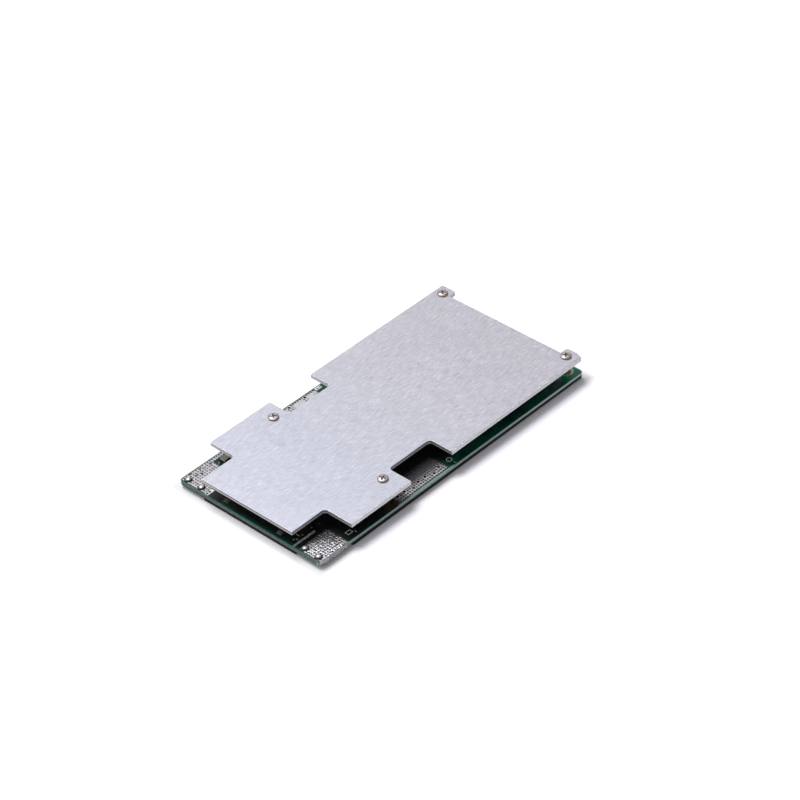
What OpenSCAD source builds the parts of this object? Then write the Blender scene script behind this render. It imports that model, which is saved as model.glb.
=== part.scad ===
// Battery management board: a green circuit board that carries the power
// transistors and the cell-monitoring chips, under an aluminium heat plate.
//
// X runs along the board, from the cable pads to the cell header.
// Y runs across it, from the low side to the high side. Z is up.
// The origin is the middle of the underside that the board rests on.

/* [Circuit board] */
// Length of the circuit board
board_l = 129.5; // [126:0.5:150]
// Width of the circuit board
board_w = 65; // [64:0.5:80]
// Thickness of the circuit board
board_t = 1.6; // [1.2:0.2:2.4]
// Radius of the circuit board's corners
board_corner_r = 1.5; // [0.5:0.1:3]

/* [Underside sheet] */
// Thickness of the insulating sheet that the board rests on
sheet_t = 1.1; // [0.5:0.1:3]
// How far the sheet stays inside the board's edge
sheet_inset = 0.5; // [0.2:0.1:1.5]
// Length of the sheet's two corner cuts, along the board
sheet_cut_l = 15.4; // [14:0.1:20]
// Width of the sheet's two corner cuts, across the board
sheet_cut_w = 11.4; // [10:0.1:14]

/* [Heat plate] */
// Thickness of the heat plate
plate_t = 1.5; // [1:0.1:3]
// Length of the two corner notches, along the board
end_notch_l = 15.1; // [14.5:0.1:16]
// Depth of the low corner notch, across the board
low_end_notch_w = 12; // [11:0.1:14]
// Depth of the high corner notch, across the board
high_end_notch_w = 11.5; // [11:0.1:14]
// Where the two side notches start, from the cable end
side_notch_x = 43.1; // [41:0.1:45]
// Length of the two side notches
side_notch_l = 19.7; // [18:0.1:24]
// Depth of the low side notch
low_side_notch_w = 10; // [8:0.1:12]
// Depth of the high side notch
high_side_notch_w = 9.3; // [8:0.1:12]
// Radius inside the notches
notch_r = 1.5; // [0.5:0.1:3]
// Reach of the two ears past the plate's far edge
ear_l = 3.3; // [3:0.1:5]
// Width of the low ear
low_ear_w = 7.3; // [6:0.1:9]
// Width of the high ear
high_ear_w = 6.5; // [6:0.1:9]
// Radius of the arc that cuts the low ear's outermost corner
low_ear_arc_r = 7.5; // [6:0.5:12]
// Distance from the low side at which that arc starts
low_ear_arc_y = 3.8; // [3:0.1:4.5]
// Radius of the ears' other corners
ear_r = 0.9; // [0.5:0.1:1.4]

/* [Spacers and screws] */
// Height of the brass spacers, and so of the gap under the plate
spacer_h = 5; // [5:0.1:8]
// Outer diameter of a spacer
spacer_d = 3.3; // [3:0.1:4.2]
// Diameter of a spacer's tail, which is soldered in the board
spacer_tail_d = 2.7; // [2.5:0.1:2.9]
// Diameter of the tinned ring round a spacer
land_d = 5.2; // [4.4:0.1:6]
// Nominal thread of the plate screws
screw_d = 2; // [1.6:0.1:2.2]
// Length of a screw under its head
screw_l = 6; // [4:0.5:7]
// Diameter of a screw's head
screw_head_d = 3.8; // [3.2:0.1:5]
// Height of a screw's head
screw_head_h = 0.9; // [0.7:0.1:2]
// Width of the cross recess's slots
recess_slot = 0.6; // [0.4:0.05:0.8]
// Length of the cross recess's slots
recess_l = 2.4; // [1.6:0.1:2.6]
// Depth of the cross recess
recess_depth = 0.5; // [0.3:0.1:0.6]
// Distance of the screws at the header end from that end
far_screw_x = 3.9; // [3.4:0.1:8]
// Distance of the low screw at the header end from the low side
far_screw_low_y = 4.5; // [3.2:0.1:5]
// Distance of the high screw at the header end from the high side
far_screw_high_y = 3.6; // [3.2:0.1:6]
// Distance of the screws behind the side pads from the cable end
near_screw_x = 37.9; // [35.5:0.1:38.5]
// Distance of the low screw behind the side pads from the low side
near_screw_low_y = 7.7; // [6:0.1:8.5]
// Distance of the high screw behind the side pads from the high side
near_screw_high_y = 7; // [6:0.1:9]

/* [Cable pads] */
// Height of the tinned pads above the board
pad_t = 0.12; // [0.04:0.02:0.3]
// Distance of the pads from the board's edge
pad_margin = 0.6; // [0.4:0.1:1.2]
// Length of the low corner pad
low_pad_l = 12.9; // [11:0.1:14]
// Width of the low corner pad
low_pad_w = 9.6; // [9:0.1:10.4]
// Length of the high corner pad
high_pad_l = 13; // [11:0.1:14]
// Width of the high corner pad
high_pad_w = 11; // [9:0.1:11.6]
// Length of that pad and the bus strip that leaves it along the board's side
bus_l = 19.4; // [15:0.1:24]
// Width of that bus strip
bus_w = 1.5; // [1:0.1:2]
// Length of the two side pads
side_pad_l = 23.3; // [20:0.1:24]
// Width of the two side pads
side_pad_w = 8.6; // [5:0.1:9.4]
// Diameter of the solder domes on the corner pads
dome_d = 2.3; // [1.6:0.1:2.6]
// Height of the solder domes
dome_h = 0.8; // [0.4:0.1:1.1]
// Distance between the two domes of a corner pad
dome_pitch = 6.2; // [5:0.1:6.6]
// Diameter of the cable holes in the side pads
wire_hole_d = 0.9; // [0.6:0.1:1.2]
// Distance between the cable holes of the low side pad
low_hole_pitch = 3.3; // [2.5:0.1:4]
// Distance between the cable holes of the high side pad
high_hole_pitch = 7.5; // [5:0.1:8]
// Length of the tinned strip beside the low corner pad
strip_l = 9.9; // [6:0.1:12]
// Width of that strip
strip_w = 0.8; // [0.6:0.1:1.4]

/* [Power transistors] */
// Number of transistors in each of the two rows
fet_count = 6; // [4:1:6]
// Share of the board's length from one transistor of a row to the next
fet_pitch_share = 0.0888; // [0.086:0.0002:0.091]
// Distance between the middles of the two rows
fet_row_gap = 17; // [16.5:0.1:18]
// Distance of a row's first package from the cable end
fet_x = 17; // [16:0.1:18]
// Width of a transistor's moulded body
fet_w = 10.2; // [9:0.1:10.4]
// Length of a transistor's moulded body
fet_body_l = 9; // [8:0.1:9.4]
// Height of a transistor's moulded body
fet_h = 4.4; // [4:0.1:4.6]
// Reach of the metal tab past the body
fet_tab_l = 1.4; // [1:0.1:1.6]
// Reach of the leads past the body
fet_lead_l = 4.8; // [4:0.1:5]
// Width of a lead
fet_lead_w = 0.9; // [0.6:0.1:1.2]

/* [Cell header] */
// Number of pins in the cell header
header_pins = 17; // [13:1:17]
// Distance between the pins
header_pitch = 2.5; // [2:0.1:2.6]
// Depth of the header's housing, along the board
header_depth = 7.6; // [7:0.1:9]
// Height of the header's housing
header_h = 4.8; // [4.6:0.1:4.9]
// Wall of the header's housing
header_wall = 0.7; // [0.5:0.1:0.9]
// Side of a header pin's square section
header_pin_w = 0.5; // [0.4:0.05:0.7]

/* [Small parts] */
// Side of the square monitor and controller chips
chip_w = 7; // [5:0.5:8]
// Height of those chips
chip_h = 1.4; // [0.8:0.1:1.8]
// Distance of those chips' middles from the board's long sides
chip_edge = 11.3; // [10:0.1:11.6]
// Length of a shunt resistor
shunt_l = 6.4; // [5:0.1:6.6]
// Width of a shunt resistor
shunt_w = 3.2; // [2.5:0.1:3.4]
// Height of a shunt resistor
shunt_h = 1; // [0.6:0.1:1.6]
// Number of balance resistors in each of the two columns
bleed_rows = 8; // [4:1:8]
// Length of a balance resistor, as a share of its column's width
bleed_share = 0.51; // [0.4:0.01:0.56]
// Width of a balance resistor
bleed_w = 3.2; // [2.5:0.1:3.4]
// Height of a balance resistor
bleed_h = 0.65; // [0.4:0.05:1]
// Length of a surge diode's body
diode_l = 4.6; // [4:0.1:4.8]
// Width of a surge diode's body
diode_w = 2.9; // [2.4:0.1:3]
// Height of a surge diode's body
diode_h = 2; // [1.4:0.1:2.6]
// Length of a bulk capacitor
bulk_l = 4.5; // [4:0.1:4.8]
// Width of a bulk capacitor
bulk_w = 3.2; // [2.6:0.1:3.4]
// Height of a bulk capacitor
bulk_h = 2.2; // [1.6:0.1:2.8]
// Length of the capacitor beside the high corner pad
capacitor_l = 3.2; // [2.8:0.1:3.6]
// Width of the capacitor beside the high corner pad
capacitor_w = 2.5; // [2:0.1:3]
// Height of the capacitor beside the high corner pad
capacitor_h = 1.6; // [1:0.1:2.5]
// Length of the small resistors at the cable end
edge_part_l = 2; // [1.6:0.1:2.6]
// Width of the small resistors at the cable end
edge_part_w = 1.25; // [0.8:0.05:1.6]

/* [Hidden] */

// Clearances between pieces that fit together
thread_play = 0.05;   // between a screw and the hole that it passes or bites in
tail_play = 0.05;     // round a spacer's tail in the board, and its foot in the land
pin_play = 0.05;      // round a header pin in its housing
hole_play = 0.1;      // by which a pad's holes are wider than the board's
part_gap = 0.4;       // least distance between neighbours on the board

// Levels, from the surface that the board rests on
board_top = sheet_t + board_t;
plate_z = board_top + spacer_h;
plate_top = plate_z + plate_t;
plate_far_x = board_l - ear_l;
$fn = 48;

// Screw places and turns, counted from the board's low corner at the cable end
screw_spots = [
    [near_screw_x, near_screw_low_y, 20],
    [near_screw_x, board_w - near_screw_high_y, 50],
    [board_l - far_screw_x, far_screw_low_y, 35],
    [board_l - far_screw_x, board_w - far_screw_high_y, 48]
];

// Moves from the board's low corner at the cable end to the part's own frame
module board_frame(z) {
    translate([-board_l / 2, -board_w / 2, z]) children();
}

module on_board() {
    board_frame(board_top) children();
}

// A block that stands on z = 0, with its middle at the origin
module block(l, w, h) {
    translate([-l / 2, -w / 2, 0]) cube([l, w, h]);
}

module rounded_rect(l, w, r) {
    translate([r, 0]) square([l - 2 * r, w]);
    translate([0, r]) square([l, w - 2 * r]);
    for (x = [r, l - r], y = [r, w - r]) translate([x, y]) circle(r);
}

// A corner notch, whose inner corner is rounded
module corner_cut(l, w, r) {
    translate([-1, -1]) square([l - r + 1, w + 1]);
    translate([-1, -1]) square([l + 1, w - r + 1]);
    translate([l - r, w - r]) circle(r);
}

// A side notch, whose two inner corners are rounded
module side_cut(l, w, r) {
    translate([r, -1]) square([l - 2 * r, w + 1]);
    translate([0, -1]) square([l, w - r + 1]);
    for (x = [r, l - r]) translate([x, w - r]) circle(r);
}

// Turns a drawing made for the low side into one for the high side
module on_high_side() {
    translate([0, board_w]) mirror([0, 1]) children();
}

// ---- The board, its sheet and the heat plate ----

side_pad_x = side_notch_x + side_notch_l - side_pad_l - 1;
side_pad_y = pad_margin + 0.4;
high_side_pad_x = side_pad_x + 1.1;

// Cable holes: every third one stands nearer to the board's edge
module low_wire_holes(d) {
    for (i = [0 : floor((side_pad_l - 2.4) / low_hole_pitch)])
        translate([side_pad_x + 1.4 + i * low_hole_pitch, side_pad_y + (i % 3 == 2 ? 1.4 : 2.5)])
            circle(d = d);
}

module high_wire_holes(d) {
    for (i = [0 : floor((side_pad_l - 4.5) / high_hole_pitch)])
        translate([high_side_pad_x + 3.4 + i * high_hole_pitch, board_w - pad_margin - 0.7])
            circle(d = d);
}

module circuit_board() {
    color("darkgreen") board_frame(sheet_t) linear_extrude(board_t) difference() {
        rounded_rect(board_l, board_w, board_corner_r);
        for (s = screw_spots) translate([s[0], s[1]]) circle(d = spacer_tail_d + 2 * tail_play);
        low_wire_holes(wire_hole_d);
        high_wire_holes(wire_hole_d);
    }
}

module underside_sheet() {
    color("black") board_frame(0) linear_extrude(sheet_t) difference() {
        translate([sheet_inset, sheet_inset])
            square([board_l - 2 * sheet_inset, board_w - 2 * sheet_inset]);
        corner_cut(sheet_cut_l, sheet_cut_w, notch_r);
        on_high_side() corner_cut(sheet_cut_l, sheet_cut_w, notch_r);
    }
}

// The plate with its two ears, one at each side of the header's mouth. The low ear's
// outermost corner is cut to a wide arc; every other corner has a small radius.
module plate_outline() {
    square([plate_far_x, board_w]);
    difference() {
        translate([plate_far_x - ear_l, 0]) rounded_rect(2 * ear_l, low_ear_w, ear_r);
        translate([plate_far_x, -1]) square([ear_l + 1, low_ear_arc_y + 1]);
    }
    intersection() {
        translate([plate_far_x - 1, 0]) square([ear_l + 1, low_ear_arc_y]);
        translate([board_l - low_ear_arc_r, low_ear_arc_y]) circle(low_ear_arc_r, $fn = 200);
    }
    translate([plate_far_x - ear_l, board_w - high_ear_w])
        rounded_rect(2 * ear_l, high_ear_w, ear_r);
}

module heat_plate() {
    color("silver") board_frame(plate_z) linear_extrude(plate_t) difference() {
        plate_outline();
        corner_cut(end_notch_l, low_end_notch_w, notch_r);
        on_high_side() corner_cut(end_notch_l, high_end_notch_w, notch_r);
        translate([side_notch_x, 0]) side_cut(side_notch_l, low_side_notch_w, notch_r);
        on_high_side() translate([side_notch_x, 0])
            side_cut(side_notch_l, high_side_notch_w, notch_r);
        for (s = screw_spots) translate([s[0], s[1]]) circle(d = screw_d + 2 * thread_play);
    }
}

// ---- Screws and spacers ----

// Pan head with a domed top and a cross recess, on a plain shank
module plate_screw() {
    rim_h = screw_head_h * 0.6;
    rise = screw_head_h - rim_h;
    dome_r = (pow(screw_head_d / 2, 2) + pow(rise, 2)) / (2 * rise);
    difference() {
        union() {
            cylinder(d = screw_head_d, h = rim_h);
            intersection() {
                cylinder(d = screw_head_d, h = screw_head_h);
                translate([0, 0, screw_head_h - dome_r]) sphere(dome_r);
            }
        }
        for (a = [0, 90]) rotate(a) translate([0, 0, screw_head_h - recess_depth])
            block(recess_l, recess_slot, recess_depth + 1);
    }
    translate([0, 0, -screw_l]) cylinder(d = screw_d, h = screw_l);
}

module plate_screws() {
    color("gainsboro") board_frame(plate_top) for (s = screw_spots)
        translate([s[0], s[1], 0]) rotate(s[2]) plate_screw();
}

module brass_spacers() {
    color("goldenrod") on_board() for (s = screw_spots) translate([s[0], s[1], 0])
        difference() {
            union() {
                cylinder(d = spacer_d, h = spacer_h);
                translate([0, 0, -board_t]) cylinder(d = spacer_tail_d, h = board_t);
            }
            translate([0, 0, -board_t - 1])
                cylinder(d = screw_d + 2 * thread_play, h = board_t + spacer_h + 2);
        }
}

module spacer_lands() {
    color("wheat") on_board() linear_extrude(pad_t) for (s = screw_spots)
        translate([s[0], s[1]]) difference() {
            circle(d = land_d);
            circle(d = spacer_d + 2 * tail_play);
        }
}

// ---- Cable pads ----

module low_corner_pad() {
    color("lightgray") on_board() translate([pad_margin, pad_margin / 2, 0])
        linear_extrude(pad_t) rounded_rect(low_pad_l, low_pad_w, 0.5);
}

// The bus strip runs on along the board's side, past the capacitor
module high_corner_pad() {
    color("lightgray") on_board() linear_extrude(pad_t) on_high_side()
        translate([pad_margin, pad_margin]) {
            rounded_rect(high_pad_l, high_pad_w, 0.5);
            translate([high_pad_l - 1, 0]) square([bus_l - high_pad_l + 1, bus_w]);
        }
}

// The side pads keep clear of the land of the screw beside them
module low_side_pad() {
    color("lightgray") on_board() linear_extrude(pad_t) difference() {
        translate([side_pad_x, side_pad_y]) square([side_pad_l, side_pad_w]);
        low_wire_holes(wire_hole_d + 2 * hole_play);
        translate([near_screw_x, near_screw_low_y]) circle(d = land_d + 2 * part_gap);
    }
}

module high_side_pad() {
    color("lightgray") on_board() linear_extrude(pad_t) difference() {
        translate([high_side_pad_x, board_w - pad_margin - side_pad_w])
            square([side_pad_l, side_pad_w]);
        high_wire_holes(wire_hole_d + 2 * hole_play);
        translate([near_screw_x, board_w - near_screw_high_y]) circle(d = land_d + 2 * part_gap);
    }
}

// A low cap of solder
module dome() {
    r = (dome_d * dome_d / 4 + dome_h * dome_h) / (2 * dome_h);
    intersection() {
        translate([0, 0, dome_h - r]) sphere(r);
        cylinder(d = dome_d, h = dome_h);
    }
}

module solder_domes() {
    x = pad_margin + dome_d / 2 + 0.2;
    color("gainsboro") board_frame(board_top + pad_t) for (k = [0, 1]) {
        translate([x, x + 0.5 + k * dome_pitch, 0]) dome();
        translate([x, board_w - x - 0.6 - k * dome_pitch, 0]) dome();
    }
}

module tinned_strip() {
    color("gray") on_board()
        translate([part_gap, pad_margin / 2 + low_pad_w + 2, 0]) cube([strip_l, strip_w, pad_t]);
}

// ---- Power transistors ----

fet_mid_y = [board_w / 2 - fet_row_gap / 2, board_w / 2 + fet_row_gap / 2];
fet_l = fet_tab_l + fet_body_l + fet_lead_l;
fet_pitch = board_l * fet_pitch_share;
fet_end_x = fet_x + (fet_count - 1) * fet_pitch + fet_w;
fet_tab_t = 1.3;
fet_chamfer = 0.8;
lead_t = 0.5;

// The package lies along Y, with its tab at the low end and its leads at the high end
module fet_body() {
    translate([-fet_w / 2, fet_tab_l - fet_l / 2, 0])
        rotate([90, 0, 90]) linear_extrude(fet_w) polygon([
            [0, fet_tab_t], [fet_body_l / 2, fet_tab_t], [fet_body_l / 2, 0.1],
            [fet_body_l, 0.1], [fet_body_l, fet_h - fet_chamfer],
            [fet_body_l - fet_chamfer, fet_h], [fet_chamfer, fet_h],
            [0, fet_h - fet_chamfer]
        ]);
}

// The tab under the body, and the gull-wing leads from its end face to the board
module fet_metal() {
    foot = 1.9;
    knee = 2.3;
    translate([-fet_w / 2, -fet_l / 2, 0]) cube([fet_w, fet_tab_l + fet_body_l / 2, fet_tab_t]);
    for (x = [-1, 1]) translate([x * fet_w / 4 - fet_lead_w / 2, fet_l / 2 - fet_lead_l, 0])
        rotate([90, 0, 90]) linear_extrude(fet_lead_w) polygon([
            [0, knee], [1.1, knee], [fet_lead_l - foot, 0], [fet_lead_l, 0],
            [fet_lead_l, lead_t], [fet_lead_l - foot + 0.3, lead_t],
            [1.4, knee + lead_t], [0, knee + lead_t]
        ]);
}

module fet_row(y, turn) {
    for (i = [0 : fet_count - 1])
        translate([fet_x + fet_w / 2 + i * fet_pitch, y, 0]) rotate(turn) children();
}

// The low row turns its leads to the board's middle, and so does the high row
module discharge_transistors() {
    color("dimgray") on_board() fet_row(fet_mid_y[0], 0) fet_body();
}

module discharge_transistor_tabs() {
    color("silver") on_board() fet_row(fet_mid_y[0], 0) fet_metal();
}

module charge_transistors() {
    color("dimgray") on_board() fet_row(fet_mid_y[1], 180) fet_body();
}

module charge_transistor_tabs() {
    color("silver") on_board() fet_row(fet_mid_y[1], 180) fet_metal();
}

// Soft strips that carry the heat from the transistors' flat tops to the plate
module thermal_strips() {
    flat_w = fet_body_l - 2 * fet_chamfer;
    off = fet_l / 2 - fet_tab_l - fet_body_l / 2;
    color("lightsteelblue") on_board() for (k = [-1, 1])
        translate([fet_x, board_w / 2 + k * (fet_row_gap / 2 + off) - flat_w / 2, fet_h])
            cube([fet_end_x - fet_x, flat_w, spacer_h - fet_h]);
}

// ---- Shunts and the cell header ----

// A flat chip part: its body stands a little proud of its two plated ends
module flat_chip(l, w, h) {
    block(l, w, h * 0.85);
    block(l * 2 / 3, w, h);
}

// The shunts stand in the lane between the high row and the high side pad, past the
// corner pad
shunt_x = max(fet_x, pad_margin + high_pad_l + part_gap);
shunt_y = (fet_mid_y[1] + fet_l / 2 + board_w - side_pad_y - side_pad_w) / 2;
shunt_pitch = shunt_l * 1.25;

module shunt_resistors() {
    color("gray") on_board() for (i = [0 : floor((fet_end_x - shunt_x - shunt_l) / shunt_pitch)])
        translate([shunt_x + shunt_l / 2 + i * shunt_pitch, shunt_y, 0])
            flat_chip(shunt_l, shunt_w, shunt_h);
}

header_l = (header_pins - 1) * header_pitch + 4.9;
header_x = plate_far_x - header_depth;
header_back = 1.4;
header_pin_z = header_h / 2 - header_pin_w / 2;
function pin_y(i) = (i - (header_pins - 1) / 2) * header_pitch;

module at_header() {
    on_board() translate([header_x, board_w / 2, 0]) children();
}

// The housing lies on its side, with its mouth at the board's far end
module cell_header() {
    hole = header_pin_w + 2 * pin_play;
    color("ivory") at_header() difference() {
        translate([0, -header_l / 2, 0]) cube([header_depth, header_l, header_h]);
        translate([header_back, header_wall - header_l / 2, header_wall])
            cube([header_depth, header_l - 2 * header_wall, header_h - 2 * header_wall]);
        for (i = [0 : header_pins - 1])
            translate([-1, pin_y(i) - hole / 2, header_pin_z - pin_play])
                cube([header_back + 2, hole, hole]);
    }
}

// Each pin runs out of the back wall, bends down and ends in a foot on the board
module cell_header_pins() {
    tip = header_depth - 1.4;
    w = header_pin_w;
    bend = -0.4;
    foot = -1.8;
    color("silver") at_header() for (i = [0 : header_pins - 1])
        translate([0, pin_y(i) + w / 2, 0]) rotate([90, 0, 0]) linear_extrude(w) polygon([
            [tip, header_pin_z], [bend, header_pin_z], [bend, 0], [foot, 0], [foot, w],
            [bend - w, w], [bend - w, header_pin_z + w], [tip, header_pin_z + w]
        ]);
}

// ---- Chips ----

// The balancing parts fill the room between the transistors and the filter capacitors
filter_l = 2;
filter_x = header_x - 4.4;
bleed_x = fet_end_x + 3;
bleed_step = (filter_x - filter_l / 2 - bleed_x) / 2;
bleed_l = bleed_step * bleed_share;
small_w = 2.4;

// The two square chips stand on either side of them, at the board's long sides
chip_reach = 1;
bleed_low_y = chip_edge + chip_w / 2 + chip_reach + part_gap + bleed_w / 2;
bleed_pitch = (board_w - 2 * bleed_low_y) / (bleed_rows - 1);
chip_x = bleed_x + bleed_l + 2;

module at_chip(side) {
    on_board() translate([chip_x, board_w / 2 + side * (board_w / 2 - chip_edge), 0]) children();
}

module monitor_chip() {
    color("dimgray") at_chip(-1) translate([0, 0, 0.1]) block(chip_w, chip_w, chip_h - 0.1);
}

module controller_chip() {
    color("dimgray") at_chip(1) translate([0, 0, 0.1]) block(chip_w, chip_w, chip_h - 0.1);
}

// A row of n bent leads along X, which reach out along +Y from y = 0
module lead_row(n, pitch, w, reach, knee, t) {
    for (i = [0 : n - 1]) translate([(i - (n - 1) / 2) * pitch - w / 2, 0, 0])
        rotate([90, 0, 90]) linear_extrude(w) polygon([
            [0, knee], [reach * 0.35, knee], [reach * 0.45, 0], [reach, 0], [reach, t],
            [reach * 0.6, t], [reach * 0.5, knee + t], [0, knee + t]
        ]);
}

module chip_leads() {
    n = floor((chip_w - 0.8) / 0.5);
    color("silver") for (side = [-1, 1]) at_chip(side) for (a = [0 : 90 : 270])
        rotate(a) translate([0, chip_w / 2, 0]) lead_row(n, 0.5, 0.24, chip_reach, 0.4, 0.15);
}

// The column of parts between the cable end and the transistors: a capacitor, a
// driver, the regulator, a driver and a capacitor, evenly spread
column_x = fet_x * 0.62;
driver_off = board_w * 0.115;
bulk_off = board_w * 0.225;

module at_drivers() {
    on_board() for (k = [-1, 1]) translate([column_x, board_w / 2 + k * driver_off, 0]) children();
}

module gate_drivers() {
    color("dimgray") at_drivers() translate([0, 0, 0.1]) block(4.9, 3.9, 1.4);
}

module gate_driver_leads() {
    color("silver") at_drivers() for (a = [0, 180]) rotate(a) translate([0, 1.95, 0])
        lead_row(4, 1.27, 0.4, 1.05, 0.6, 0.2);
}

module regulator() {
    color("dimgray") on_board() translate([column_x, board_w / 2, 0.1]) block(6.5, 3.5, 1.5);
}

module regulator_leads() {
    color("silver") on_board() translate([column_x, board_w / 2, 0]) {
        translate([0, 1.75, 0]) lead_row(3, 2.3, 0.7, 1.75, 0.7, 0.25);
        rotate(180) translate([0, 1.75, 0]) lead_row(1, 1, 3, 1.75, 0.7, 0.25);
    }
}

// ---- Balancing parts and capacitors ----

module bleed_grid() {
    for (c = [0, 1], i = [0 : bleed_rows - 1])
        translate([bleed_x + c * bleed_step, bleed_low_y + i * bleed_pitch, 0]) children();
}

module balance_resistors() {
    color("gray") on_board() bleed_grid()
        translate([bleed_l / 2, 0, 0]) flat_chip(bleed_l, bleed_w, bleed_h);
}

// Small three-legged transistor with its legs along X: one solid
module balance_transistors() {
    color("dimgray") on_board() bleed_grid() translate([bleed_l + part_gap + small_w / 2, 0, 0]) {
        translate([0, 0, 0.1]) block(small_w * 0.55, bleed_w * 0.9, 1);
        translate([-small_w / 4, 0, 0]) block(small_w / 2, 0.4, 0.5);
        for (y = [-0.3, 0.3]) translate([small_w / 4, y * bleed_w, 0]) block(small_w / 2, 0.4, 0.5);
    }
}

module filter_capacitors() {
    color("tan") on_board() translate([filter_x, board_w / 2, 0])
        for (i = [0 : header_pins - 2])
            translate([0, (i - (header_pins - 2) / 2) * header_pitch, 0])
                flat_chip(filter_l, header_pitch / 2, 0.9);
}

module bulk_capacitors() {
    color("tan") on_board() for (k = [-1, 1])
        translate([column_x, board_w / 2 + k * bulk_off, 0]) flat_chip(bulk_l, bulk_w, bulk_h);
}

// Surge diodes in the lane beside the high side pad, back from the last transistor
module surge_diodes() {
    pitch = diode_l * 1.5;
    tab = diode_l / 8;
    color("dimgray") on_board() for (i = [0 : 2])
        translate([fet_end_x - i * pitch, board_w - side_pad_y - side_pad_w + diode_w / 2, 0]) {
            translate([0, 0, 0.15]) block(diode_l, diode_w, diode_h - 0.15);
            block(diode_l + 2 * tab, diode_w * 0.6, diode_h * 0.3);
        }
}

// Stands between the high corner pad and the bus strip, at the edge of the notch
module corner_capacitor() {
    color("tan") on_board()
        translate([end_notch_l + capacitor_l * 0.56, board_w - pad_margin - bus_w - capacitor_w * 1.1, 0])
            flat_chip(capacitor_l, capacitor_w, capacitor_h);
}

// Small resistors along the open edge at the cable end
module edge_resistors() {
    color("dimgray") on_board() for (share = [0.31, 0.69])
        translate([edge_part_w * 1.8, board_w * share, 0])
            rotate(90) flat_chip(edge_part_l, edge_part_w, edge_part_w / 2);
}

// Feels the transistors' heat, between them and the balancing parts
module thermistor() {
    color("black") on_board() translate([(fet_end_x + bleed_x) / 2, board_w / 2, 0])
        rotate(90) flat_chip(edge_part_l, edge_part_w, edge_part_w * 0.7);
}

circuit_board();
underside_sheet();
heat_plate();
plate_screws();
brass_spacers();
spacer_lands();
low_corner_pad();
high_corner_pad();
low_side_pad();
high_side_pad();
solder_domes();
tinned_strip();
charge_transistors();
charge_transistor_tabs();
discharge_transistors();
discharge_transistor_tabs();
thermal_strips();
shunt_resistors();
cell_header();
cell_header_pins();
monitor_chip();
controller_chip();
chip_leads();
gate_drivers();
gate_driver_leads();
regulator();
regulator_leads();
balance_resistors();
balance_transistors();
filter_capacitors();
bulk_capacitors();
surge_diodes();
corner_capacitor();
edge_resistors();
thermistor();
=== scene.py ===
# Battery management board: the looks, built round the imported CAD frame.
# The board's own grid is used throughout: x from the cable end, y from the low side and
# z from the surface the board rests on, in millimetres.
import math

import bmesh
import bpy
from mathutils import Matrix, Vector


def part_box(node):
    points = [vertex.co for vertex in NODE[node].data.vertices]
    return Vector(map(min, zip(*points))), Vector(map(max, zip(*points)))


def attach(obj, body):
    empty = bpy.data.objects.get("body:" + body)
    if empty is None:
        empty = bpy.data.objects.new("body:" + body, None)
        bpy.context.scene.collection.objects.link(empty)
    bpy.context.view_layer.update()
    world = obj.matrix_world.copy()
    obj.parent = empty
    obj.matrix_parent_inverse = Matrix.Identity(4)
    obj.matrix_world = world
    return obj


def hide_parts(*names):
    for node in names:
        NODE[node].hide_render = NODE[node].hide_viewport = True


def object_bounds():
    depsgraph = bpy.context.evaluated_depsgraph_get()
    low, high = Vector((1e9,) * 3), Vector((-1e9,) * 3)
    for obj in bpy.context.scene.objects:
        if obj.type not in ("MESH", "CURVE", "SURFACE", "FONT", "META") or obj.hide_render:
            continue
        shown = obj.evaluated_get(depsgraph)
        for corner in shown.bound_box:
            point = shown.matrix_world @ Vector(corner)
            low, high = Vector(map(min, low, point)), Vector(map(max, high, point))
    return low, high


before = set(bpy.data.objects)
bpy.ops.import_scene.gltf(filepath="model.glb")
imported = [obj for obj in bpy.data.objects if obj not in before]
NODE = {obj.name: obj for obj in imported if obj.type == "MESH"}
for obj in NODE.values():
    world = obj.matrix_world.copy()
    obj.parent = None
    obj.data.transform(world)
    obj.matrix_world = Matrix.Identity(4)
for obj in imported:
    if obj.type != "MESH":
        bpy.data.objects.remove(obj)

first_bounds = [list(map(float, p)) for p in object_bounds()]

# ---------------------------------------------------------------- camera
# A long lens, high off the low side of the cable end. Turn, tilt, roll, lens and place
# were solved together from straight edges of the heat plate and the board.
MM = 0.001
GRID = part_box("circuit_board")[0].to_2d()


def at(x, y, z=0.0):
    """A place on the board's grid, in the row frame and metres."""
    return Vector((GRID.x + x * MM, GRID.y + y * MM, z * MM))


TURN, TILT, ROLL = math.radians(-44.925), math.radians(38.119), math.radians(-3.382)
ahead = Vector((-math.sin(TURN) * math.cos(TILT), math.cos(TURN) * math.cos(TILT), -math.sin(TILT)))
level = Vector((math.cos(TURN), math.sin(TURN), 0))
upright = level.cross(ahead)
cam_x = math.cos(ROLL) * level + math.sin(ROLL) * upright
cam_y = -math.sin(ROLL) * level + math.cos(ROLL) * upright
eye = at(0, 0, 9.2) + (25.735 * cam_x + 46.878 * cam_y - 951.813 * ahead) * MM
camera = bpy.data.objects.new("camera", bpy.data.cameras.new("camera"))
bpy.context.scene.collection.objects.link(camera)
camera.matrix_world = Matrix.Translation(eye) @ Matrix((cam_x, cam_y, -ahead)).transposed().to_4x4()
camera.data.sensor_width = 36
camera.data.lens = 135.266
camera.data.clip_start = 0.05
camera.data.clip_end = 20
bpy.context.scene.camera = camera


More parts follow.
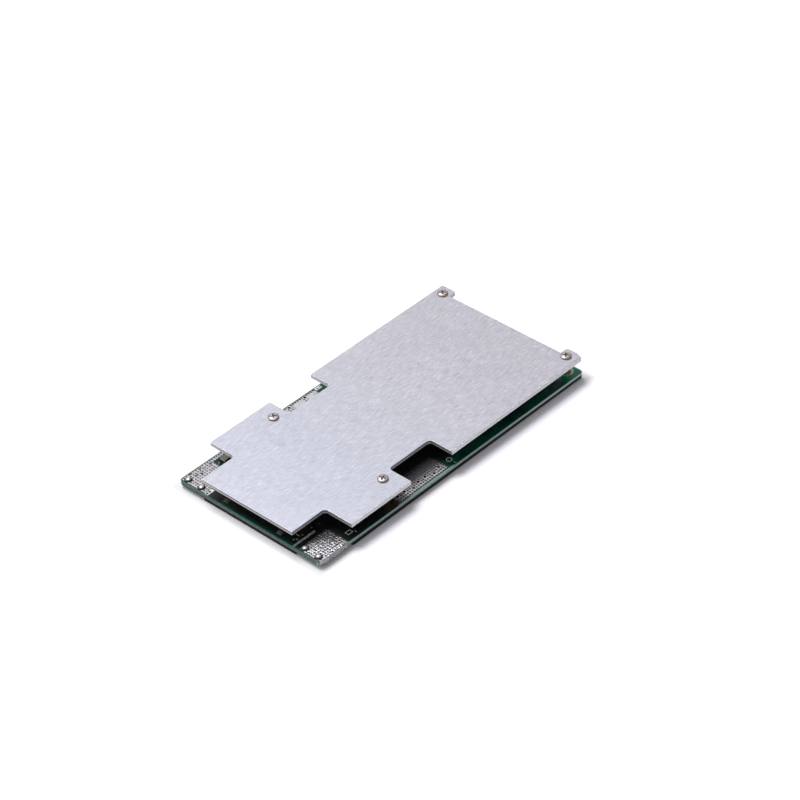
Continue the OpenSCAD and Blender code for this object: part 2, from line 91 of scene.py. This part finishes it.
# ---------------------------------------------------------------- heat plate
# A sheet of 1.5 mm aluminium, brushed along its length and pressed out with three notches
# and two screw ears. Pressing leaves a burnished band, a torn band and a fine burr.
class Sock:
    """A shader socket that can be added, multiplied and compared."""

    def __init__(self, tree, out):
        self.tree, self.out = tree, out

    def node(self, kind, *inputs, out=0, **settings):
        """One node: its type, the values or links of its inputs, its settings and its output."""
        n = self.tree.nodes.new("ShaderNode" + kind)
        for key, value in settings.items():
            if key[0].islower():
                setattr(n, key, value)
        named = [(k.replace("_", " "), v) for k, v in settings.items() if k[0].isupper()]
        for key, value in [*enumerate(inputs), *named]:
            if isinstance(value, Sock):
                self.tree.links.new(value.out, n.inputs[key])
            elif value is not None:
                n.inputs[key].default_value = value
        return Sock(self.tree, n.outputs[out])

    def math(self, op, *more):
        return self.node("Math", self, *more, operation=op)

    def __add__(self, b): return self.math("ADD", b)
    def __sub__(self, b): return self.math("SUBTRACT", b)
    def __rsub__(self, b): return self.math("MULTIPLY_ADD", -1.0, b)
    def __mul__(self, b): return self.math("MULTIPLY", b)
    def abs(self): return self.math("ABSOLUTE")
    def min(self, b): return self.math("MINIMUM", b)
    def max(self, b): return self.math("MAXIMUM", b)
    def wrap(self, pitch): return self.math("FLOORED_MODULO", pitch)

    def step(self, lo, hi):
        """0 up to lo and 1 from hi, smooth between them; lo above hi turns it round."""
        ends = (0.0, 1.0) if lo < hi else (1.0, 0.0)
        return self.node("MapRange", self, min(lo, hi), max(lo, hi), *ends,
                         interpolation_type="SMOOTHSTEP")

    def scaled(self, x, y, z):
        return self.node("VectorMath", self, (x, y, z), operation="MULTIPLY")

    def noise(self, scale, detail=3.0, rough=0.55):
        return self.node("TexNoise", self, Scale=scale, Detail=detail, Roughness=rough)

    def blend(self, a, b):
        """Colour a where this is 0, colour b where it is 1."""
        a, b = [c if isinstance(c, Sock) else (*c, 1) for c in (a, b)]
        return self.node("Mix", self, None, None, None, None, None, a, b, out=2, data_type="RGBA")

    def mix(self, a, b):
        """Number a where this is 0, number b where it is 1."""
        return self * (b - a) + a

    def bump(self, depth, strength=1.0, under=None):
        """A bump of that depth in millimetres, laid over another if one is given."""
        return self.node("Bump", Strength=strength, Distance=depth * MM, Height=self, Normal=under)


def rgb(r, g, b):
    """A colour from the 0 to 255 values seen on a screen."""
    return tuple(((c / 255 + 0.055) / 1.055) ** 2.4 if c > 10 else c / 255 / 12.92
                 for c in (r, g, b))


HOLE_PITCH = 1.07  # of the rows of small plated holes, both ways


class Paint:
    """A material that reads the board's grid, in millimetres."""

    def __init__(self, name, colour=(0.5, 0.5, 0.5), rough=0.5, metal=0.0):
        self.mat = bpy.data.materials.new(name)
        self.mat.use_nodes = True
        self.tree = self.mat.node_tree
        self.bsdf = self.tree.nodes["Principled BSDF"]
        self.set(Base_Color=colour, Roughness=rough, Metallic=metal)
        place = self.source("TexCoord", "Object").scaled(1000, 1000, 1000)
        shift = (-GRID.x / MM, -GRID.y / MM, 0)
        self.at = place.node("VectorMath", place, shift, operation="ADD")
        self.x, self.y, self.z = self.parts(self.at)
        self.flat = self.x.node("CombineXYZ", self.x, self.y)
        self.nx, self.ny, self.nz = self.parts(self.source("NewGeometry", "Normal"))

    def source(self, kind, name):
        return Sock(self.tree, self.tree.nodes.new("ShaderNode" + kind).outputs[name])

    def parts(self, vector):
        return [vector.node("SeparateXYZ", vector, out=i) for i in range(3)]

    def set(self, **values):
        for name, value in values.items():
            socket = self.bsdf.inputs[name.replace("_", " ")]
            if isinstance(value, Sock):
                self.tree.links.new(value.out, socket)
            else:
                socket.default_value = (*value, 1) if isinstance(value, tuple) else value
        return self

    def outside(self, x0, x1, y0, y1):
        """How far a place lies outside a rectangle of the board, below 0 inside it."""
        dx = (self.x - (x0 + x1) / 2).abs() - (x1 - x0) / 2
        dy = (self.y - (y0 + y1) / 2).abs() - (y1 - y0) / 2
        return dx.max(dy)

    def rect(self, x0, x1, y0, y1, soft=0.06):
        """1 inside a rectangle of the board, 0 outside it."""
        return self.outside(x0, x1, y0, y1).step(soft, -soft)

    def outline(self, x0, x1, y0, y1, width):
        """1 on a rectangle's outline, 0 inside and outside it."""
        off = self.outside(x0, x1, y0, y1).abs()
        return off.step(width / 2 + 0.05, width / 2 - 0.05)

    def spots(self, radius, *places, soft=0.06):
        """1 inside any of the circles at those places, 0 outside them."""
        near = None
        for x, y in places:
            d = self.flat.node("VectorMath", self.flat, (x, y, 0), operation="DISTANCE", out=1)
            near = d if near is None else near.min(d)
        return near.step(radius + soft, radius - soft)

    def dots(self, radius, x, y, soft=0.06):
        """1 on a grid of round dots at the hole pitch, with one of them at x, y."""
        half = HOLE_PITCH / 2
        dx = (self.x - (x - half)).wrap(HOLE_PITCH) - half
        dy = (self.y - (y - half)).wrap(HOLE_PITCH) - half
        return (dx * dx + dy * dy).math("SQRT").step(radius + soft, radius - soft)


def finish_mesh(name, bm, paint, nodes=(), smooth=False):
    """Makes the piece, lets it ride on the board and stand for the CAD nodes named."""
    mesh = bpy.data.meshes.new(name)
    bm.to_mesh(mesh)
    bm.free()
    mesh.materials.append(paint.mat)
    for face in mesh.polygons:
        face.use_smooth = smooth
    piece = bpy.data.objects.new(name, mesh)
    bpy.context.scene.collection.objects.link(piece)
    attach(piece, "root")
    if nodes:
        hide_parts(*nodes)
    return piece


def soft_copy(node, paint, width, segments=2, angle=30):
    """A copy of a CAD node with its sharp edges rounded, which stands for that node."""
    bm = bmesh.new()
    bm.from_mesh(NODE[node].data)
    bmesh.ops.remove_doubles(bm, verts=bm.verts, dist=1e-6)
    bmesh.ops.dissolve_limit(bm, angle_limit=math.radians(1), verts=bm.verts, edges=bm.edges)
    sharp = [e for e in bm.edges
             if len(e.link_faces) == 2 and e.calc_face_angle(0) > math.radians(angle)]
    bmesh.ops.bevel(bm, geom=sharp, offset=width * MM, affect="EDGES", segments=segments,
                    profile=0.5, material=-1, clamp_overlap=True)
    return finish_mesh(node + "_look", bm, paint, (node,))


plate = Paint("brushed_plate", metal=0.85)
slant = plate.y + plate.x * (0.24 - plate.x * 0.0006 - plate.y * 0.002)
streak = plate.x.node("CombineXYZ", plate.x * 0.25, slant * 4.6).noise(1.0, 2).step(0.36, 0.64)
hair = plate.x.node("CombineXYZ", plate.x * 0.9, slant * 14).noise(1.0, 1).step(0.33, 0.67)
cloud = plate.flat.noise(0.07, 1).step(0.3, 0.7)
bright = plate.x.node("CombineXYZ", plate.x * 0.32, slant * 7).noise(1.0, 1).step(0.6, 0.67)
tone = streak * 0.38 + hair * 0.25 + cloud * 0.06 + bright * 0.75
# The face is drawn darker and bluer towards the near end and warmer towards the far end: painted
# shading that evens out the key lamp's stronger reflection near.
face_tone = plate.x.step(10, 120).blend(tone.blend(rgb(176, 177, 188), rgb(216, 217, 229)),
                                       tone.blend(rgb(179, 177, 185), rgb(224, 222, 230)))
scratch = plate.x.node("CombineXYZ", plate.x * 0.8, plate.y * 7).noise(1.0, 1)
torn = plate.x.step(110, 120).max(plate.rect(61, 76, -1, 2, 2.0)).max(0.2)
burr = scratch.step(0.5, 0.56) * plate.y.step(0.22, 0.3) * plate.y.step(0.75, 0.6) * torn
# A broken rim along the low edge of the face is drawn near white: a painted highlight.
rim_highlight = scratch.step(0.5, 0.44) * plate.y.step(0.3, 0.22)
face_tone = (burr * 0.8).blend(face_tone, rgb(92, 92, 98))
face_tone = rim_highlight.blend(face_tone, rgb(246, 246, 248))

# From the top down, the pressed edge is burnished, torn, smooth again and burred.
side = plate.nz.abs().step(0.85, 0.5)
ragged = plate.z + plate.flat.noise(1.6, 2) * 0.2
edge_tone = ragged.step(9.12, 9.04).blend(rgb(214, 214, 218), rgb(112, 111, 114))
edge_tone = ragged.step(8.62, 8.5).blend(edge_tone, rgb(184, 183, 186))
edge_tone = ragged.step(8.12, 8.02).blend(edge_tone, rgb(128, 127, 130))
edge_tone = (plate.y.step(40, 60) * 0.6).blend(edge_tone, rgb(216, 214, 216))
# The walls facing the low side are drawn near white with brighter flecks, and made less metallic:
# painted light on walls the lamps leave dim.
low_side = plate.ny.step(-0.6, -0.9) * plate.y.step(3.0, 2.0).max(plate.x.step(124, 125))
painted_wall_flecks = plate.flat.noise(1.7, 2).step(0.4, 0.5).max(plate.y.step(30, 40))
painted_low_wall_tone = painted_wall_flecks.blend(rgb(206, 206, 210), rgb(252, 252, 253))
painted_low_wall_tone = ragged.step(8.3, 8.5).blend(painted_low_wall_tone, rgb(230, 229, 235))
edge_tone = low_side.blend(edge_tone, painted_low_wall_tone)
plate.set(Base_Color=side.blend(face_tone, edge_tone),
          Roughness=side.mix(streak.mix(0.44, 0.52), 0.55),
          Metallic=side.mix(0.85, 0.55) * (1 - low_side * 0.7),
          Normal=(streak + hair * 0.5).bump(0.004, 0.5))
soft_copy("heat_plate", plate, 0.07)

# ---------------------------------------------------------------- plate screws
# Four nickel plated pan head screws with a cross recess, turned down through the plate
# into the spacers. The recess and the head's lower upward faces are drawn brown and its
# foot dark: painted shade.
nickel = Paint("screw_nickel", metal=0.7)
down = nickel.z.step(9.95, 9.75) * nickel.nz.step(0.2, 0.5)
grain = nickel.at.noise(3.0, 3).step(0.35, 0.65)
head = down.blend(grain.blend(rgb(184, 174, 173), rgb(216, 208, 208)), rgb(120, 100, 92))
head = nickel.z.step(9.55, 9.3).blend(head, rgb(62, 57, 55))
nickel.set(Base_Color=head,
           Roughness=grain.mix(0.34, 0.46), Normal=grain.bump(0.02, 0.5))
soft_copy("plate_screws", nickel, 0.09, segments=3)

# ---------------------------------------------------------------- brass spacers
# Four posts turned from brass, which has gone a dull olive. They are soldered into the
# board and hold the plate 5 mm above it.
brass = Paint("spacer_brass", metal=0.9, rough=0.35)
lines = brass.at.scaled(0.4, 0.4, 8).noise(1.0, 2)
brass.set(Base_Color=lines.blend(rgb(118, 98, 58), rgb(178, 154, 96)),
          Normal=lines.bump(0.02, 0.5))
soft_copy("brass_spacers", brass, 0.12)

# ---------------------------------------------------------------- spacer lands
# Bare copper rings on the board, tinned where the feet of the spacers are soldered down.
# They are thin, so they keep the shape they have.
def dress(paint, *names):
    """Gives CAD nodes their material."""
    for name in names:
        NODE[name].data.materials.clear()
        NODE[name].data.materials.append(paint.mat)


land = Paint("tinned_land", metal=0.5)
ripple = land.at.noise(2.2, 3).step(0.3, 0.7)
land.set(Base_Color=ripple.blend(rgb(176, 176, 160), rgb(214, 214, 196)),
         Roughness=ripple.mix(0.3, 0.45), Normal=ripple.bump(0.05, 0.5))
dress(land, "spacer_lands")

# ---------------------------------------------------------------- circuit board
# Glass fibre board under a glossy dark green mask, with white printed marks. Its routed
# edge shows the glass layers, and along the near corner's low side it is plated over.
BOARD_L, BOARD_W = 129.5, 65
WIRE_HOLES = [(39.9 + 3.3 * i, 2.4 if i % 3 == 2 else 3.5) for i in range(7)]
WIRE_HOLES += [(43, 63.7), (50.5, 63.7), (58, 63.7)]
board = Paint("fr4_green")
pour = board.flat.noise(0.11, 2).step(0.47, 0.5)
cloth = board.flat.noise(2.6, 2).step(0.3, 0.7)
track = (board.y * 0.8 + board.flat.noise(0.06, 0) * 6).wrap(2.2).step(0.3, 0.22)
mask_tone = pour.blend(rgb(4, 58, 48), rgb(9, 76, 62))
# Towards the far end the mask is drawn a much brighter green: painted light on the far corner.
mask_tone = board.x.step(119, 124).blend(mask_tone, rgb(0, 150, 122))
mask_tone = (track * 0.5).blend(mask_tone, rgb(18, 104, 84))
mask_tone = (cloth * 0.25).blend(mask_tone, rgb(3, 40, 34))

# Under the heat plate, where little light reaches, the mask is drawn nearly black.
deep = board.rect(1.35, 40, 0.6, 63.8, 0.25).max(board.rect(1.35, 118, 4.0, 61, 1.2))
deep = deep * (1 - board.rect(13.4, 21, 57.5, 63.5))
mask_tone = (deep * 0.95).blend(mask_tone, rgb(25, 24, 23))
bronze = board.rect(33.2, 38.4, 0.9, 5.5, 0.3) * board.flat.noise(0.7, 2).step(0.4, 0.62)
mask_tone = bronze.blend(mask_tone, rgb(74, 52, 24))
pores = board.dots(0.2, 39.0, 2.0) * board.rect(33, 38.4, 0.9, 6)
mask_tone = pores.blend(mask_tone, rgb(14, 12, 10))
mask_tone = board.rect(37, 64, 0.0, 0.6, 0.15).blend(mask_tone, rgb(150, 176, 170))
bores = board.spots(0.75, *WIRE_HOLES)
mask_tone = board.rect(14.4, 15.0, 59.2, 60.6).blend(mask_tone, rgb(12, 14, 12))
mask_tone = board.rect(2.3, 13.7, -1, 0.45, 0.1).blend(mask_tone, rgb(132, 136, 134))

# The mask stops short of the edge, where the pale laminate shows.
rim = board.y.min(BOARD_W - board.y).min(board.x.min(BOARD_L - board.x))
bare_rim = rim.step(0.32, 0.22)
mask_tone = bare_rim.blend(mask_tone, rgb(96, 128, 120))

marks = [board.outline(15.95, 17.9, 2.7, 4.2, 0.2), board.rect(18.6, 18.8, 1.7, 2.6),
         board.rect(65.0, 65.16, 0.4, 1.6),
         board.rect(5.2, 5.4, 14.4, 15.8), board.rect(6.0, 6.6, 13.9, 14.1),
         board.rect(14.5, 14.9, 61.0, 61.3), board.rect(10.4, 11.0, 14.3, 14.5),
         board.rect(13.7, 14.0, 13.9, 14.1),
         board.rect(2.5, 3.2, 14.5, 14.7), board.rect(3.6, 3.8, 13.4, 14.2),
         board.rect(0.5, 3.7, 51.9, 53.4) - board.spots(0.46, (1.06, 52.74), (2.23, 52.76)),
         board.rect(63.5, 66.1, 63.2, 64.6) - board.spots(0.36, (64.5, 63.9), (65.6, 63.9))]
ring = board.flat.node("VectorMath", board.flat, (64.9, 3.45, 0), operation="DISTANCE", out=1)
white = (ring - 0.95).abs().step(0.18, 0.1)
for mark in marks:
    white = white.max(mark)
white = white * board.nz.step(0.5, 0.8)
top_tone = white.blend(mask_tone, rgb(240, 244, 240))

along = (board.x - board.y) * 1.1 + board.z * 1.4
fibre = board.x.node("CombineXYZ", along, board.z * 5).noise(1.0, 2)
low_face = board.ny.step(-0.4, -0.8)
edge = fibre.step(0.35, 0.65).blend(rgb(62, 68, 70), rgb(116, 122, 124))
# The edge facing the low side is drawn much lighter than the others, and lighter still towards the
# far end: painted light.
lit_low_edge = fibre.step(0.35, 0.65).blend(rgb(116, 124, 124), rgb(182, 190, 188))
lit_low_edge = board.x.step(70, 125).blend(lit_low_edge, rgb(196, 206, 202))
edge = low_face.blend(edge, lit_low_edge)
crown = board.z.step(2.36, 2.5)
plated = board.rect(-1, 13.7, -1, 1.6, 0.3) * board.z.step(2.6, 2.5)
plating = board.at.noise(1.2, 3).step(0.4, 0.6).blend(rgb(128, 125, 129), rgb(196, 193, 197))
edge = plated.blend(edge, plating)
wall = board.nz.abs().step(0.7, 0.4)

# The upper arris is drawn green, and pale on the low face, a painted highlight there. The
# lowest part of the edge is drawn black, a painted shade for the dark band where the board
# meets the sheet below: 0.7 mm of it on the low side and 0.4 mm elsewhere, but none at the
# plated corner.
edge = crown.blend(edge, low_face.blend(rgb(10, 98, 78), rgb(186, 208, 202)))
height = board.z - low_face * 0.3 + board.flat.noise(0.3, 2) * 0.12
foot_shade = height.step(1.56, 1.48) * (1 - board.rect(-1, 13.8, -1, 9.9))
edge = foot_shade.blend(edge, rgb(20, 20, 22))
board.set(Base_Color=bores.blend(wall.blend(top_tone, edge), rgb(9, 8, 8)),
          Roughness=wall.mix(white.mix(0.3, 0.6), 0.62),
          Metallic=plated * 0.7,
          Coat_Weight=wall.mix(0.12, 0.0), Specular_IOR_Level=0.35,
          Normal=fibre.bump(0.03, 0.5, under=cloth.bump(0.006, 0.5)))
soft_copy("circuit_board", board, 0.07)

# ---------------------------------------------------------------- underside sheet
# A sheet of black insulating stuff, cut to the board's outline less both near corners. It
# lies under the board, which rests on it.
sheet = Paint("sheet_black")
scuff = sheet.at.noise(0.8, 4).step(0.4, 0.7)
sheet.set(Base_Color=scuff.blend(rgb(10, 10, 12), rgb(24, 24, 27)),
          Roughness=scuff.mix(0.42, 0.6), Specular_IOR_Level=0.08,
          Normal=sheet.at.noise(3, 2).bump(0.03, 0.5))
trimmed = soft_copy("underside_sheet", sheet, 0.1)
for v in trimmed.data.vertices:
    x, y = (v.co.x - GRID.x) / MM, (v.co.y - GRID.y) / MM
    # its low edge stands out furthest at the cable end, and its near edge all along
    if y < 1:
        v.co.y -= 0.42 * MM * (1 - x / 130)
    if x < 1:
        v.co.x -= 0.3 * MM

# ---------------------------------------------------------------- low side pad
# A bare copper area flooded with solder, for the power wires. Rows of small plated holes
# and a few wire holes go through it, and its inner part is drawn in shade.
tin = Paint("tin")
low_half = tin.y.step(30, 20)
beyond = tin.x.step(36, 38)
small = tin.dots(0.29, 39.0, 2.0).max(tin.dots(0.4, 39.0, 2.0) * low_half.max(beyond))
small = small * (1 - tin.spots(0.85, *WIRE_HOLES))
holed = tin.x.step(38, 36).max(low_half).max(tin.rect(39, 63, 63.6, 65))
for x0, x1 in ((56.4, 58.3), (49.2, 51.8), (39, 43.4)):
    holed = holed.max(tin.rect(x0, x1, 61.8, 65))
small = small * holed
wires = tin.spots(0.42, (12.75, 63.0), (7.2, 61.4), (8.3, 63.65), (4.3, 64.1), (5.1, 62.1))
# A ring of painted shade round the foot of each dome.
dome_foot_shade = tin.spots(1.42, (1.95, 62.45), (1.95, 56.25))
holes = small.max(wires).max(dome_foot_shade)
swell = tin.flat.noise(1.1, 3, 0.6)
rough = swell.step(0.35, 0.65)
shade = tin.y.step(1.4, 5.8) * low_half
tin_tone = rough.blend(rgb(158, 155, 159), rgb(208, 204, 209))
tin_tone = (tin.y.step(30, 40) * beyond * 0.7).blend(tin_tone, rgb(212, 210, 213))
tin_tone = (shade * 0.86).blend(tin_tone, rgb(44, 44, 47))
tin_tone = holes.blend(tin_tone, rgb(20, 16, 19))
tin.set(Base_Color=tin_tone, Roughness=rough.mix(0.35, 0.5), Metallic=(1 - holes) * 0.6,
        Normal=(swell - holes * 0.6).bump(0.1, 0.7))
dress(tin, "low_side_pad")

# ---------------------------------------------------------------- high side pad
# The same kind of tinned copper area in the high side notch, with three wire holes and
# short rows of small ones.
dress(tin, "high_side_pad")

# ---------------------------------------------------------------- high corner pad
# The same tinned copper in the high near corner. Two solder domes stand on it, each in a
# ring of painted shade round its foot, with five wire holes beside them.
dress(tin, "high_corner_pad")

# ---------------------------------------------------------------- low corner pad
# A copper area in the low near corner, flooded with rougher solder that stands in lumps
# between the plated holes. Its inner part is drawn in shade.
hammered = Paint("tin_rough")
pits = hammered.dots(0.26, 1.5, 1.0, 0.14)
lump = hammered.flat.noise(1.15, 2, 0.6)
# The solder is drawn light on its lumps, with bright dots on them, and dark between: painted
# highlights and reflections.
lump_glints = hammered.dots(0.16, 2.035, 1.535, 0.2) * lump.step(0.35, 0.5)
shine = (lump.step(0.36, 0.6) + lump_glints).min(1.0)
# A ring of painted shade round the foot of each dome.
dome_foot_shade = hammered.spots(1.42, (1.95, 2.45), (1.95, 8.65))
inner = (hammered.x + hammered.y * 1.2).step(10.5, 20)
hammered_tone = shine.blend(rgb(92, 91, 96), rgb(244, 243, 248))
hammered_tone = (pits * 0.92).max(dome_foot_shade).blend(hammered_tone, rgb(24, 22, 26))
hammered_tone = (inner * 0.8).blend(hammered_tone, rgb(30, 30, 33))
hammered.set(Base_Color=hammered_tone, Roughness=shine.mix(0.45, 0.25),
             Metallic=(1 - dome_foot_shade) * 0.7, Normal=(lump - pits * 0.5).bump(0.3, 0.8))
dress(hammered, "low_corner_pad")

# ---------------------------------------------------------------- tinned strip
# A narrow strip of bare copper beside the low corner pad, with a smooth coat of solder
# melted on to it.
strip = Paint("tinned_strip", metal=0.2)
strip_wave = strip.flat.noise(1.4, 3).step(0.35, 0.65)
strip.set(Base_Color=strip_wave.blend(rgb(160, 162, 152), rgb(206, 206, 196)),
          Roughness=strip_wave.mix(0.35, 0.5), Normal=strip_wave.bump(0.04, 0.5))
dress(strip, "tinned_strip")

# ---------------------------------------------------------------- solder domes
# Two round beads of solder on each near corner pad, each turned from one profile. The
# crown is drawn pale, a painted highlight set a little towards the near end and the low side,
# and the foot dark, a painted reflection of the dark round it.
solder = Paint("solder", rough=0.3, metal=0.5)
skin = solder.at.noise(2.0, 2).step(0.3, 0.7)
rise = solder.z - solder.nx * 0.1 - solder.ny * 0.03
flank = skin.blend(rgb(104, 101, 105), rgb(138, 135, 139))
dome_tone = rise.step(3.42, 3.54).blend(flank, rgb(206, 204, 209))
dome_tone = rise.step(3.34, 3.22).blend(dome_tone, rgb(36, 33, 36))
solder.set(Base_Color=dome_tone, Normal=skin.bump(0.02, 0.4))
bm = bmesh.new()
for x, y in ((1.95, 2.45), (1.95, 8.65), (1.95, 62.45), (1.95, 56.25)):
    # a quarter ellipse from the foot to the crown
    arc = [bm.verts.new((1.28 * math.cos(a), 0, 0.8 * math.sin(a))) for a in
           [math.radians(9 * i) for i in range(11)]]
    line = [bm.edges.new(pair) for pair in zip(arc, arc[1:])]
    bmesh.ops.spin(bm, geom=arc + line, cent=(0, 0, 0), axis=(0, 0, 1), dvec=(0, 0, 0),
                   angle=math.tau, steps=32, use_merge=True)
    dome = [v for v in bm.verts if not v.tag]
    place = Matrix.Translation(at(x, y, 2.82)) @ Matrix.Scale(MM, 4)
    bmesh.ops.transform(bm, matrix=place, verts=dome)
    for v in dome:
        v.tag = True
bmesh.ops.remove_doubles(bm, verts=bm.verts, dist=1e-6)
bmesh.ops.holes_fill(bm, edges=[e for e in bm.edges if e.is_boundary], sides=40)
bmesh.ops.recalc_face_normals(bm, faces=bm.faces)
finish_mesh("solder_domes_look", bm, solder, ("solder_domes",), smooth=True)

# ---------------------------------------------------------------- charge and discharge transistors
# Two rows of six flat power transistors in moulded black epoxy, on either side of the
# board's middle. Each is soldered down by its tabs.
mould = Paint("moulded_black", rough=0.55)
speck = mould.at.noise(5, 3).step(0.35, 0.7)
mould.set(Base_Color=speck.blend(rgb(18, 18, 20), rgb(44, 43, 46)),
          Roughness=speck.mix(0.45, 0.62), Normal=speck.bump(0.03, 0.5))
for name in ("charge_transistors", "discharge_transistors"):
    soft_copy(name, mould, 0.18)

# ---------------------------------------------------------------- transistor tabs
# Tinned copper tabs and legs that come out of the transistors and lie on the board, where
# they are soldered.
legs = Paint("tinned_leads", metal=0.9)
legs_skin = legs.at.noise(2.4, 3).step(0.3, 0.7)
legs.set(Base_Color=legs_skin.blend(rgb(160, 160, 162), rgb(216, 215, 214)),
         Roughness=legs_skin.mix(0.25, 0.4), Normal=legs_skin.bump(0.04, 0.5))
dress(legs, "charge_transistor_tabs", "discharge_transistor_tabs")

# ---------------------------------------------------------------- thermal strips
# A strip of soft blue grey gap filler on each row of transistors, pressed between them
# and the heat plate to carry the heat up.
gel = Paint("thermal_pad", rough=0.7)
weave = gel.at.noise(1.8, 3).step(0.3, 0.7)
gel.set(Base_Color=weave.blend(rgb(120, 132, 150), rgb(160, 172, 188)),
        Normal=weave.bump(0.06, 0.5))
soft_copy("thermal_strips", gel, 0.12)

# ---------------------------------------------------------------- monitor and controller chips
# Two flat chips in moulded black epoxy, with tinned leads formed down to the board and
# soldered there.
for name in ("monitor_chip", "controller_chip"):
    soft_copy(name, mould, 0.12)
dress(legs, "chip_leads")

# ---------------------------------------------------------------- gate drivers
# Two small moulded chips that switch the transistors, with tinned leads formed down to
# the board and soldered there.
soft_copy("gate_drivers", mould, 0.12)
dress(legs, "gate_driver_leads")

# ---------------------------------------------------------------- regulator
# A small voltage regulator in moulded black epoxy. It is soldered flat on the board by
# its tinned copper leads.
soft_copy("regulator", mould, 0.12)
dress(legs, "regulator_leads")

# ---------------------------------------------------------------- surge diodes
# Three diodes in moulded black blocks, soldered flat on the board against surges in the
# power wires.
soft_copy("surge_diodes", mould, 0.12)

# ---------------------------------------------------------------- balance transistors
# One small moulded transistor for each cell, which switches that cell's resistor. They
# are soldered flat on the board.
dress(mould, "balance_transistors")

# ---------------------------------------------------------------- shunt resistors
# Flat resistors with a dark film under a thin glaze, soldered flat on the board. The
# current is read across them.
film = Paint("resistor_dark", rough=0.4)
glaze = film.flat.noise(3.0, 2).step(0.35, 0.65)
film.set(Base_Color=glaze.blend(rgb(30, 30, 33), rgb(66, 64, 66)),
         Normal=glaze.bump(0.02, 0.4))
dress(film, "shunt_resistors")

# ---------------------------------------------------------------- balance resistors
# One small dark film resistor for each cell, soldered flat on the board. It bleeds off
# the cell's surplus charge.
dress(film, "balance_resistors")

# ---------------------------------------------------------------- thermistor
# A small dark film chip that senses how hot the board is. It is soldered flat on the
# board.
dress(film, "thermistor")

# ---------------------------------------------------------------- edge resistors
# Two grey ceramic chip resistors, soldered flat on the board under the near edge of the
# heat plate.
block = Paint("resistor_grey")
chalk = block.flat.noise(3.0, 2).step(0.35, 0.65)
block.set(Base_Color=chalk.blend(rgb(86, 80, 80), rgb(112, 106, 104)),
          Normal=chalk.bump(0.02, 0.4))
dress(block, "edge_resistors")

# ---------------------------------------------------------------- filter and bulk capacitors
# Small and large blocks of fired tan ceramic, soldered flat on the board. They smooth the
# sense lines and the supply.
fired = Paint("ceramic_tan", rough=0.6)
clay = fired.at.noise(4.0, 3).step(0.3, 0.7)
fired.set(Base_Color=clay.blend(rgb(118, 100, 86), rgb(150, 130, 114)),
          Normal=clay.bump(0.03, 0.5))
dress(fired, "filter_capacitors", "bulk_capacitors")

# ---------------------------------------------------------------- corner capacitor
# A block of ceramic in the high corner notch, soldered flat on the board. Its top is drawn
# pale, painted light, and its sides dark, painted shade.
glazed = Paint("ceramic_lit_top")
clay = glazed.at.noise(2.0, 3).step(0.3, 0.7)
side_shade = glazed.nz.step(0.7, 0.4)
top = clay.blend(rgb(190, 172, 162), rgb(216, 198, 188))
glazed.set(Base_Color=side_shade.blend(top, rgb(30, 26, 26)), Normal=clay.bump(0.03, 0.5))
soft_copy("corner_capacitor", glazed, 0.12)

# ---------------------------------------------------------------- cell header
# A side entry header for seventeen sense wires, moulded in ivory nylon. It is held at the
# far end of the board by its pins.
nylon = Paint("header_ivory", rough=0.45)
grain = nylon.at.noise(2.5, 3).step(0.3, 0.7)
nylon.set(Base_Color=grain.blend(rgb(214, 209, 192), rgb(234, 230, 216)),
          Normal=grain.bump(0.03, 0.5))
soft_copy("cell_header", nylon, 0.15)

# ---------------------------------------------------------------- cell header pins
# Seventeen tinned pins pressed into the header, bent down to the board and soldered
# there.
dress(legs, "cell_header_pins")

# ---------------------------------------------------------------- floor
# A white floor that keeps the board's shadow. Its own glow is weaker within 5.4 mm of the
# board, a painted shadow where they meet.
ground = Paint("floor_white", colour=(0.9, 0.9, 0.91), rough=0.9)
seen = ground.source("LightPath", "Is Camera Ray")
mirrored = ground.source("LightPath", "Is Glossy Ray")
lift = ground.outside(0, BOARD_L, 0, BOARD_W).step(1.0, 5.4) * 0.9 + 0.1
glow = ((seen + mirrored * 0.5) * lift).blend((0, 0, 0), (0.43, 0.4, 0.47))
ground.set(Emission_Color=glow, Emission_Strength=1.0)
bm = bmesh.new()
bmesh.ops.create_grid(bm, x_segments=1, y_segments=1, size=3,
                      matrix=Matrix.Translation((0, 0, first_bounds[0][2] - 0.0001)))
mesh = bpy.data.meshes.new("floor")
bm.to_mesh(mesh)
bm.free()
mesh.materials.append(ground.mat)
floor = bpy.data.objects.new("floor", mesh)
bpy.context.scene.collection.objects.link(floor)

# ---------------------------------------------------------------- room
# A pale room all round. It is dim where it lights the board, and brighter where metal or
# the lens sees it.
world = bpy.data.worlds.new("studio")
world.use_nodes = True
room = world.node_tree.nodes["Background"]
path = world.node_tree.nodes.new("ShaderNodeLightPath")
camera_ray = Sock(world.node_tree, path.outputs["Is Camera Ray"])
glossy_ray = Sock(world.node_tree, path.outputs["Is Glossy Ray"])
room.inputs["Color"].default_value = (0.96, 0.97, 1.0, 1)
world.node_tree.links.new((camera_ray * 0.7 + glossy_ray * 0.24 + 0.3).out, room.inputs["Strength"])
bpy.context.scene.world = world


# ---------------------------------------------------------------- lamps
# Two soft boxes on stands: the key high on the far side, and a weaker fill lower down on
# the high side of the cable end.
def soft_box(name, place, target, width, height, power):
    lamp = bpy.data.lights.new(name, "AREA")
    lamp.shape = "RECTANGLE"
    lamp.size, lamp.size_y = width, height
    lamp.energy = power
    box = bpy.data.objects.new(name, lamp)
    bpy.context.scene.collection.objects.link(box)
    box.location = place
    box.rotation_euler = (Vector(target) - Vector(place)).to_track_quat("-Z", "Y").to_euler()


soft_box("key", (0.02, 0.62, 1.35), (0, 0, 0), 0.7, 0.7, 15)
soft_box("fill", (-0.75, 0.7, 0.6), (0, 0, 0), 1.3, 0.8, 4)
bpy.context.scene.view_settings.view_transform = "Standard"
